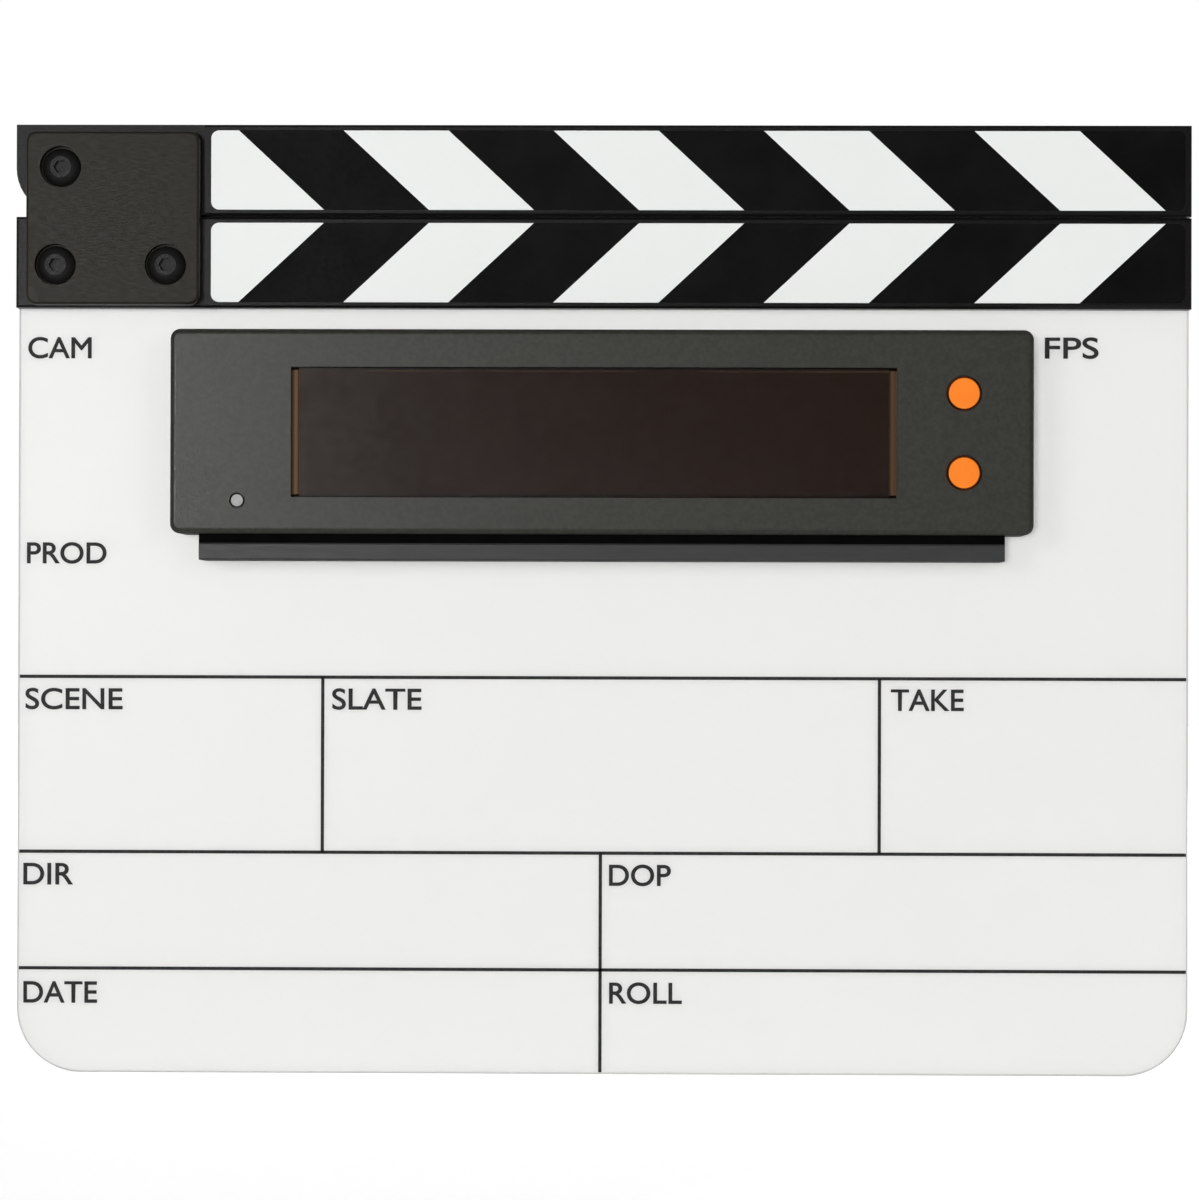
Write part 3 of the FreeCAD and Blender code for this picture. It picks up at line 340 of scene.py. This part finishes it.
@dataclass(frozen=True)
class WindowFinish(Finish):
    """Dark tinted pane with painted highlights on its bevelled ends and along its top, and painted shade
    along its upper and lower edges.
    """

    painted_highlight_colour: Colour = (0.207, 0.124, 0.072)
    shade_colour: Colour = (0.004, 0.002, 0.001)
    pane_left: float = 0.0
    pane_right: float = 0.0
    pane_top: float = 0.0
    pane_bottom: float = 0.0
    bevel: float = 1.95 * MM
    ridge: float = 0.85 * MM
    left_foot: float = 0.3
    right_foot: float = 0.5
    right_peak: float = 0.65
    top_peak: float = 0.13
    streak_length: float = 40 * MM
    streak_detail: float = 1.0
    streak_span: tuple[float, float] = (0.4, 0.65)
    streak_least: float = 0.25
    highlight_reach: float = 1.2 * MM
    shade: float = 0.6 * MM

    def tint(self, graph: Graph) -> bpy.types.NodeSocket:
        """Paints highlights on the bevelled ends and the top, and shade along the upper and lower edges.

        Args:
            graph: the material's nodes.

        Returns:
            The socket that gives the colour.
        """
        plain = super().tint(graph)
        across = graph.along(Axis.X)
        edge, ridge = self.pane_left, self.pane_left + self.ridge
        left = graph.math("MINIMUM", graph.span(across, edge, ridge, self.left_foot, 1.0),
                          graph.span(across, edge + self.bevel, ridge))
        edge, ridge, peak = self.pane_right, self.pane_right - self.ridge, self.right_peak
        right = graph.math("MINIMUM", graph.span(across, edge, ridge, self.right_foot, peak),
                           graph.span(across, edge - self.bevel, ridge, 0.0, peak))
        up = graph.along(Axis.Z)
        top = graph.span(up, self.pane_top - self.highlight_reach, self.pane_top - self.shade, 0.0, self.top_peak)
        clouds = graph.noise(self.streak_length, self.streak_detail, (1, 0, 0))
        highlight_streaks = graph.span(clouds, *self.streak_span, self.streak_least, 1.0)
        ends = graph.math("MAXIMUM", left, right)
        painted_highlight = graph.math("MAXIMUM", ends, graph.math("MULTIPLY", top, highlight_streaks))
        # painted highlight: the bevelled ends and the streaky top band turn towards a lit edge colour
        lit = graph.mix(painted_highlight, plain, self.painted_highlight_colour)
        # painted shade along the upper and lower edges of the pane
        above = graph.span(up, self.pane_top - self.shade, self.pane_top - self.shade / 2)
        below = graph.span(up, self.pane_bottom + self.shade, self.pane_bottom + self.shade / 2)
        return graph.mix(graph.math("MAXIMUM", above, below), lit, self.shade_colour)


@dataclass(frozen=True)
class RecessFinish(Finish):
    """Finish of a piece that sits in a hole, with painted shade from a given depth on."""

    mouth_y: float = 0.0
    fade: float = 0.4 * MM
    recess_shade_colour: Colour = (0.006, 0.006, 0.0055)

    def tint(self, graph: Graph) -> bpy.types.NodeSocket:
        """Paints shade on what lies deeper in the hole.

        Args:
            graph: the material's nodes.

        Returns:
            The socket that gives the colour.
        """
        # painted shade: deeper than the mouth, the colour turns to the recess shade colour
        in_shade = graph.span(graph.along(Axis.Y), self.mouth_y, self.mouth_y + self.fade)
        return graph.mix(in_shade, super().tint(graph), self.recess_shade_colour)


class Shop:
    """The finishes of the pieces, each made once."""

    def __init__(self) -> None:
        """Starts with no material made."""
        self.made: dict[str, bpy.types.Material] = {}

    def get(self, finish: Finish) -> bpy.types.Material:
        """The material of a finish."""
        if finish.name not in self.made:
            self.made[finish.name] = finish.build()
        return self.made[finish.name]


SHOP = Shop()
BLACK_STEEL = Finish("black_steel", (0.011, 0.011, 0.0105), 0.46, grain_size=0.4 * MM,
                     grain_depth=0.006 * MM, specular=0.4, wear=0.04, wear_colour=(0.06, 0.06, 0.057),
                     wear_reach=0.2 * MM)


def dress(finish: Finish, *nodes: str) -> None:
    """Gives solids of the frame a finish.

    Args:
        finish: what they are made of.
        nodes: the names of the solids.
    """
    for name in nodes:
        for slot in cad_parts[name].material_slots:
            slot.material = SHOP.get(finish)
        LOG.info("%s wears %s", name, finish.name)


def add_piece(name: str, mesh: bpy.types.Mesh, finish: Finish, body: Body) -> None:
    """Adds a new piece to the object.

    Args:
        name: the piece's name.
        mesh: its mesh, already in place.
        finish: what it is made of.
        body: the body that it moves with.
    """
    mesh.materials.clear()
    mesh.materials.append(SHOP.get(finish))
    piece = bpy.data.objects.new(name, mesh)
    bpy.context.scene.collection.objects.link(piece)
    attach(piece, body.value)
    LOG.info("%s has %d faces", name, len(mesh.polygons))


def mesh_from(name: str, work: bmesh.types.BMesh) -> bpy.types.Mesh:
    """Turns a finished bmesh into a mesh and frees it."""
    bmesh.ops.remove_doubles(work, verts=work.verts, dist=MERGE_DISTANCE)
    bmesh.ops.recalc_face_normals(work, faces=work.faces)
    mesh = bpy.data.meshes.new(name)
    work.to_mesh(mesh)
    work.free()
    return mesh


@dataclass(frozen=True)
class Caption:
    """A printed word, with the left end of its cap line and its width."""

    text: str
    left: float
    top: float
    width: float


@dataclass
class PrintedForm:
    """The printed form on the board: ruled lines and a caption in every field."""

    ink: Finish = Finish("print_ink", (0.028, 0.028, 0.028), 0.55, mottle=0.25, mottle_size=1.5 * MM,
                         grain_size=0.2 * MM, grain_depth=0.004 * MM, specular=0.2)
    ink_thickness: float = 0.05 * MM
    line_width: float = 0.82 * MM
    edge_gap: float = 0.5 * MM
    cap_height: float = 5.4 * MM
    stroke_gain: float = 0.1 * MM
    corner_gain: float = 1.5
    least_way: float = 1e-6
    row_heights: tuple[float, ...] = (98.6 * MM, 55.0 * MM, 25.95 * MM)
    upper_dividers: tuple[float, ...] = (-69.55 * MM, 69.05 * MM)
    lower_divider: float = -0.25 * MM
    captions: tuple[Caption, ...] = (
        Caption("CAM", -143.4 * MM, 183.3 * MM, 15.85 * MM),
        Caption("FPS", 109.95 * MM, 183.65 * MM, 13.35 * MM),
        Caption("PROD", -143.55 * MM, 132.1 * MM, 19.9 * MM),
        Caption("SCENE", -143.8 * MM, 95.75 * MM, 24.3 * MM),
        Caption("SLATE", -67.2 * MM, 95.85 * MM, 22.3 * MM),
        Caption("TAKE", 71.9 * MM, 96.0 * MM, 18.1 * MM),
        Caption("DIR", -144.15 * MM, 52.1 * MM, 12.4 * MM),
        Caption("DOP", 1.9 * MM, 52.2 * MM, 15.4 * MM),
        Caption("DATE", -144.05 * MM, 22.65 * MM, 18.45 * MM),
        Caption("ROLL", 2.0 * MM, 22.9 * MM, 18.1 * MM),
    )

    def build(self) -> None:
        """Makes the lines and the captions on the board's face."""
        low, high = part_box("writing_board")
        face = low.y
        left = low.x + self.edge_gap
        right = high.x - self.edge_gap
        first, second, _ = self.row_heights
        half = self.line_width / 2
        bars = [(left, right, height - half, height + half) for height in self.row_heights]
        bars += [(x - half, x + half, second, first) for x in self.upper_dividers]
        foot = low.z + self.edge_gap
        bars.append((self.lower_divider - half, self.lower_divider + half, foot, second))
        work = bmesh.new()
        for bar in bars:
            self.rule(work, face, *bar)
        add_piece("printed_lines", mesh_from("printed_lines", work), self.ink, Body.BOARD)
        for caption in self.captions:
            mesh = self.caption_mesh(caption, face)
            add_piece(mesh.name, mesh, self.ink, Body.BOARD)

    def rule(self, work: bmesh.types.BMesh, face: float, left: float, right: float,
             bottom: float, top: float) -> None:
        """Adds one ruled line, a thin layer of ink on the face.

        Args:
            work: the mesh that takes it.
            face: the face's Y.
            left: its left edge.
            right: its right edge.
            bottom: its lower edge.
            top: its upper edge.
        """
        made = bmesh.ops.create_cube(work, size=1.0)
        middle = Vector(((left + right) / 2, face - self.ink_thickness / 2, (bottom + top) / 2))
        size = Vector((right - left, self.ink_thickness, top - bottom))
        matrix = Matrix.Translation(middle) @ Matrix.Diagonal((*size, 1.0))
        bmesh.ops.transform(work, matrix=matrix, verts=made["verts"])

    def caption_mesh(self, caption: Caption, face: float) -> bpy.types.Mesh:
        """Makes one caption as a thin layer of ink.

        Args:
            caption: the word and its place.
            face: the face's Y.

        Returns:
            The mesh, in place.
        """
        name = f"caption_{caption.text.lower()}"
        curve = bpy.data.curves.new(name, "FONT")
        curve.body = caption.text
        writer = bpy.data.objects.new(name, curve)
        bpy.context.scene.collection.objects.link(writer)
        bpy.context.view_layer.update()
        mesh = bpy.data.meshes.new_from_object(writer)
        bpy.data.objects.remove(writer)
        bpy.data.curves.remove(curve)
        xs = [vertex.co.x for vertex in mesh.vertices]
        ys = [vertex.co.y for vertex in mesh.vertices]
        gain = 2 * self.stroke_gain
        scale = ((caption.width - gain) / (max(xs) - min(xs)),
                 (self.cap_height - gain) / (max(ys) - min(ys)))
        upright = Matrix.Rotation(math.radians(90), 4, "X")
        corner = Matrix.Translation((caption.left + self.stroke_gain, face,
                                     caption.top - self.stroke_gain))
        shift = Matrix.Translation((-min(xs), -max(ys), 0.0))
        mesh.transform(corner @ upright @ Matrix.Diagonal((*scale, 1.0, 1.0)) @ shift)
        work = bmesh.new()
        work.from_mesh(mesh)
        bpy.data.meshes.remove(mesh)
        bmesh.ops.remove_doubles(work, verts=work.verts, dist=MERGE_DISTANCE)
        self.embolden(work)
        made = bmesh.ops.extrude_face_region(work, geom=work.faces[:])
        raised = [item for item in made["geom"] if isinstance(item, bmesh.types.BMVert)]
        bmesh.ops.translate(work, verts=raised, vec=(0.0, -self.ink_thickness, 0.0))
        return mesh_from(name, work)

    def embolden(self, work: bmesh.types.BMesh) -> None:
        """Moves the outline of flat letters outwards.

        Args:
            work: the letters, as flat faces.
        """
        outward: dict[bmesh.types.BMVert, list[Vector]] = {}
        for edge in work.edges:
            if edge.is_boundary:
                loop = edge.link_loops[0]
                run = loop.link_loop_next.vert.co - loop.vert.co
                side = run.cross(loop.face.normal).normalized()
                for vertex in edge.verts:
                    outward.setdefault(vertex, []).append(side)
        for vertex, sides in outward.items():
            way = sum(sides, Vector()) / len(sides)
            reach = min(1.0 / max(way.length, self.least_way), self.corner_gain)
            vertex.co += way.normalized() * self.stroke_gain * reach


@dataclass
class Board:
    """The opal writing board with its printed form."""

    acrylic: Finish = Finish("opal_acrylic", (0.87, 0.87, 0.855), 0.35, mottle=0.003,
                             mottle_size=60 * MM, gloss_spread=0.03, grain_size=1.5 * MM,
                             grain_depth=0.0005 * MM, specular=0.4, scatter=0.6, scatter_reach=3 * MM)
    form: PrintedForm = field(default_factory=PrintedForm)

    def build(self) -> None:
        """Dresses the board and prints its form."""
        dress(self.acrylic, "writing_board")
        self.form.build()


@dataclass
class Bars:
    """The two striped bars."""

    black: Finish = Finish("bar_black", (0.0045, 0.0044, 0.0041), 0.39, specular=0.34,
                           grain_size=0.35 * MM, grain_depth=0.006 * MM, wear=0.05,
                           wear_colour=(0.03, 0.03, 0.029))
    white_inlay: Finish = Finish("inlay_white", (0.85, 0.87, 0.85), 0.38, mottle=0.006,
                                 mottle_size=20 * MM, grain_size=0.6 * MM, grain_depth=0.003 * MM,
                                 specular=0.4)
    black_inlay: Finish = Finish("inlay_black", (0.0038, 0.0035, 0.0036), 0.5, mottle=0.3,
                                 mottle_size=12 * MM, grain_size=0.6 * MM, grain_depth=0.006 * MM,
                                 specular=0.12)

    def build(self) -> None:
        """Dresses both bars and their inlays."""
        dress(self.black, "lower_stick", "upper_stick")
        dress(self.white_inlay, "lower_white_stripes", "upper_white_stripes")
        dress(self.black_inlay, "lower_black_stripes", "upper_black_stripes")


@dataclass
class Hinge:
    """The hinge plates, their screws and the bearing between them."""

    plate: Finish = Finish("anodised_plate", (0.0125, 0.0115, 0.0078), 0.48, mottle=0.03,
                           mottle_size=0.5 * MM, grain_size=0.25 * MM, grain_depth=0.002 * MM,
                           grain_stretch=(0.1, 1, 1), specular=0.43, wear=0.03,
                           wear_colour=(0.06, 0.058, 0.05))
    bush: Finish = Finish("bronze", (0.5, 0.3, 0.14), 0.35, metallic=1.0)
    washer: Finish = Finish("nylon", (0.7, 0.69, 0.66), 0.5)

    def build(self) -> None:
        """Dresses the hinge."""
        dress(self.plate, "front_hinge_plate", "rear_hinge_plate")
        dress(BLACK_STEEL, "pivot_screw", "hinge_screws", "stick_screws")
        dress(self.bush, "pivot_bush")
        dress(self.washer, "pivot_washers")


@dataclass
class Bracket:
    """The angle that carries the display unit, with its pad, its screws and the unit's insert; the pad's
    near-black colour also stands in for the shade in the gap under the unit.
    """

    angle: Finish = Finish("anodised_bracket", (0.035, 0.036, 0.036), 0.38, mottle=0.08,
                           mottle_size=1.2 * MM, grain_size=0.4 * MM, grain_depth=0.006 * MM,
                           grain_stretch=(0.1, 1, 1), wear=0.1, wear_colour=(0.1, 0.1, 0.097),
                           side_roughness=0.8)
    # near-black rubber, dark enough to also stand in for the shade in the gap under the unit
    rubber_and_shade: Finish = Finish("pad_rubber", (0.0022, 0.0021, 0.002), 0.85, mottle=0.2, grain_size=0.4 * MM,
                            grain_depth=0.01 * MM, specular=0.04)
    insert: Finish = Finish("brass_insert", (0.62, 0.44, 0.17), 0.3, metallic=1.0)

    def build(self) -> None:
        """Dresses the bracket."""
        dress(self.angle, "display_bracket")
        dress(self.rubber_and_shade, "seat_pad")
        dress(BLACK_STEEL, "bracket_screws", "camera_screw")
        dress(self.insert, "tripod_insert")


@dataclass
class DisplayUnit:
    """The display unit: shells, window, buttons, lamp and sockets, and what is inside."""

    shell: Finish = Finish("housing_grey", (0.028, 0.0285, 0.0232), 0.36, mottle=0.2,
                           mottle_size=1.0 * MM, grain_size=0.5 * MM, grain_depth=0.016 * MM,
                           specular=0.6, wear=0.03, wear_colour=(0.08, 0.08, 0.075), side_roughness=0.8)
    digits: Finish = Finish("digit_face", (0.03, 0.028, 0.028), 0.5)
    circuit: Finish = Finish("circuit_green", (0.01, 0.08, 0.03), 0.4, coat=0.3)
    battery: Finish = Finish("battery_wrap", (0.05, 0.09, 0.2), 0.4)
    switch: Finish = Finish("switch_black", (0.02, 0.02, 0.02), 0.5)
    steel: Finish = Finish("socket_steel", (0.55, 0.55, 0.54), 0.28, metallic=1.0)
    button_rise: float = 0.69 * MM
    button_fade: float = 0.12 * MM
    window_flange: float = 2.0 * MM

    def button(self) -> RecessFinish:
        """The buttons' finish, with painted shade on their edges and in their holes."""
        return RecessFinish("button_orange", (0.97, 0.235, 0.02), 0.45, mottle=0.02, specular=0.3,
                            grain_size=0.3 * MM, grain_depth=0.008 * MM,
                            recess_shade_colour=(0.07, 0.018, 0.005), mouth_y=self.front() - self.button_rise,
                            fade=self.button_fade)

    def lens(self) -> RecessFinish:
        """The status lamp's finish, with painted shade in its hole."""
        return RecessFinish("light_clear", (0.34, 0.345, 0.34), 0.4, mottle=0.1, mottle_size=1.2 * MM,
                            mouth_y=self.front())

    def front(self) -> float:
        """The Y of the housing's front."""
        low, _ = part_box("front_housing")
        return low.y

    def window(self) -> WindowFinish:
        """The window's finish, with painted highlights and painted shade at its edges, placed where the
        frame has them.
        """
        low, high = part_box("display_window")
        flange = self.window_flange
        return WindowFinish("window_tint", (0.0122, 0.0052, 0.0026), 0.22, mottle=0.05,
                            mottle_size=9 * MM, specular=0.43, gloss_spread=0.02, grain_size=3 * MM,
                            grain_depth=0.0005 * MM, pane_left=low.x + flange,
                            pane_right=high.x - flange, pane_top=high.z - flange,
                            pane_bottom=low.z + flange)

    def build(self) -> None:
        """Dresses the unit."""
        dress(self.shell, "front_housing", "rear_cover")
        dress(self.window(), "display_window")
        dress(self.button(), "upper_button", "lower_button")
        dress(self.lens(), "light_guide", "status_lamp")
        dress(self.digits, "digit_modules")
        dress(self.circuit, "circuit_board")
        dress(self.battery, "battery_pack")
        dress(self.switch, "switch_bodies", "upper_plunger", "lower_plunger", "jack_socket")
        dress(self.steel, "usb_socket")
        dress(BLACK_STEEL, "cover_screws")


@dataclass(frozen=True)
class Lamp:
    """A soft box: a rectangular lamp that looks at a point, and may only light or only be mirrored."""

    name: str
    place: Point
    size: tuple[float, float]
    power: float
    mirrored: bool = True
    lights: bool = True
    target: Point = (0.0, 0.0, 0.12)

    def build(self) -> None:
        """Adds the lamp to the scene."""
        data = bpy.data.lights.new(self.name, "AREA")
        data.shape = "RECTANGLE"
        data.size, data.size_y = self.size
        data.energy = self.power
        lamp = bpy.data.objects.new(self.name, data)
        lamp.location = self.place
        towards = Vector(self.target) - Vector(self.place)
        lamp.rotation_euler = towards.to_track_quat("-Z", "Y").to_euler()
        lamp.visible_glossy = self.mirrored
        lamp.visible_diffuse = self.lights
        bpy.context.scene.collection.objects.link(lamp)
        LOG.info("%s gives %.1f watts", self.name, self.power)


@dataclass
class Studio:
    """Floor, light and camera."""

    frame_px: tuple[int, int] = (1199, 1200)
    focal_px: float = 4275.0
    sensor_mm: float = 36.0
    camera_place: Point = (0.01507, -1.06681, 0.11)
    camera_turn_deg: Point = (90.431, -0.158, 0.845)
    floor_size: float = 8.0
    floor_colour: Colour = (0.45, 0.45, 0.45)
    floor_roughness: float = 0.9
    floor_specular: float = 0.1
    floor_lift: float = 0.89
    floor_lift_span: tuple[float, float] = (0.2, 0.8)
    floor_glow: float = 0.1
    floor_glow_span: tuple[float, float] = (0.0, 0.5)
    sky_span: tuple[float, float] = (0.3, 0.9)
    ambient: float = 0.08
    lamps: tuple[Lamp, ...] = (
        Lamp("front_softbox", (-0.1, -2.4, 0.07), (0.4, 0.2), 49.0, mirrored=False),
        Lamp("left_softbox", (-0.5, -1.35, 0.22), (0.35, 0.25), 3.4, lights=False),
        Lamp("left_fill", (-0.5, -1.35, 0.3), (0.35, 0.25), 2.0, mirrored=False),
        Lamp("right_fill", (0.5, -1.35, 0.3), (0.35, 0.25), 1.3, mirrored=False),
        Lamp("rear_softbox", (0.7, 1.7, 0.7), (0.8, 0.6), 27.0),
    )

    def build(self) -> None:
        """Makes the whole studio."""
        self.floor()
        self.world()
        for lamp in self.lamps:
            lamp.build()
        self.camera()
        bpy.context.scene.view_settings.view_transform = "Standard"

    def seen_rays(self, nodes: Nodes, mirrored: bpy.types.NodeSocket) -> bpy.types.NodeSocket:
        """A value of 1 for the rays that show the background, and 0 for those that carry its light.

        Args:
            nodes: the tree that takes it.
            mirrored: how much of the background a mirrored ray shows.

        Returns:
            The socket that gives the value.
        """
        path = nodes.add("ShaderNodeLightPath").outputs
        direct = nodes.math("MAXIMUM", path["Is Camera Ray"], path["Is Transmission Ray"])
        glossy = nodes.math("MULTIPLY", path["Is Glossy Ray"], mirrored)
        return nodes.math("MAXIMUM", direct, glossy)

    def behind(self, nodes: Nodes, reach: tuple[float, float], dim: float,
               coordinate: str = "Object") -> bpy.types.NodeSocket:
        """A value of 1 behind the object that falls off in the dim room in front of it.

        Args:
            nodes: the tree that takes it.
            reach: the Y up to which it is dim, and the Y from which it is 1.
            dim: the value in front.
            coordinate: what tells the places apart: Object on the floor, Generated in the sky.

        Returns:
            The socket that gives the value.
        """
        return nodes.span(nodes.along(Axis.Y, coordinate), *reach, dim, 1.0)

    def floor(self) -> None:
        """A pale floor that keeps the object's shadow."""
        work = bmesh.new()
        bmesh.ops.create_grid(work, x_segments=1, y_segments=1, size=self.floor_size / 2)
        mesh = mesh_from("floor", work)
        graph = Graph("floor_pale")
        graph.set(Base_Color=(*self.floor_colour, 1.0), Roughness=self.floor_roughness,
                  Specular_IOR_Level=self.floor_specular, Emission_Color=WHITE)
        seen = self.seen_rays(graph, self.behind(graph, self.floor_glow_span, self.floor_glow))
        lift = self.behind(graph, self.floor_lift_span, self.floor_lift)
        graph.join(graph.math("MULTIPLY", seen, lift), graph.shader.inputs["Emission Strength"])
        mesh.materials.append(graph.material)
        floor = bpy.data.objects.new("floor", mesh)
        bpy.context.scene.collection.objects.link(floor)

    def world(self) -> None:
        """A white background and a plain soft light from all sides."""
        world = bpy.data.worlds.new("studio")
        world.use_nodes = True
        world.node_tree.nodes.clear()
        nodes = Nodes(world.node_tree)
        mix = nodes.add("ShaderNodeMixShader")
        seen = self.seen_rays(nodes, self.behind(nodes, self.sky_span, 0.0, "Generated"))
        nodes.join(seen, mix.inputs["Fac"])
        for place, strength in ((1, self.ambient), (2, 1.0)):
            light = nodes.add("ShaderNodeBackground")
            light.inputs["Color"].default_value = WHITE
            light.inputs["Strength"].default_value = strength
            nodes.join(light.outputs["Background"], mix.inputs[place])
        output = nodes.add("ShaderNodeOutputWorld")
        nodes.join(mix.outputs["Shader"], output.inputs["Surface"])
        bpy.context.scene.world = world

    def camera(self) -> None:
        """The camera at the photograph's viewing angle."""
        data = bpy.data.cameras.new("camera")
        data.sensor_width = self.sensor_mm
        data.lens = self.focal_px / max(self.frame_px) * self.sensor_mm
        camera = bpy.data.objects.new("camera", data)
        camera.location = self.camera_place
        camera.rotation_euler = Euler([math.radians(turn) for turn in self.camera_turn_deg])
        bpy.context.scene.collection.objects.link(camera)
        bpy.context.scene.camera = camera


def main() -> None:
    """Builds the classes in order."""
    logging.basicConfig(level=logging.INFO)
    for part in (Board(), Bars(), Hinge(), Bracket(), DisplayUnit(), Studio()):
        part.build()
        LOG.info("%s is done", type(part).__name__)


if __name__ == "__main__":
    main()
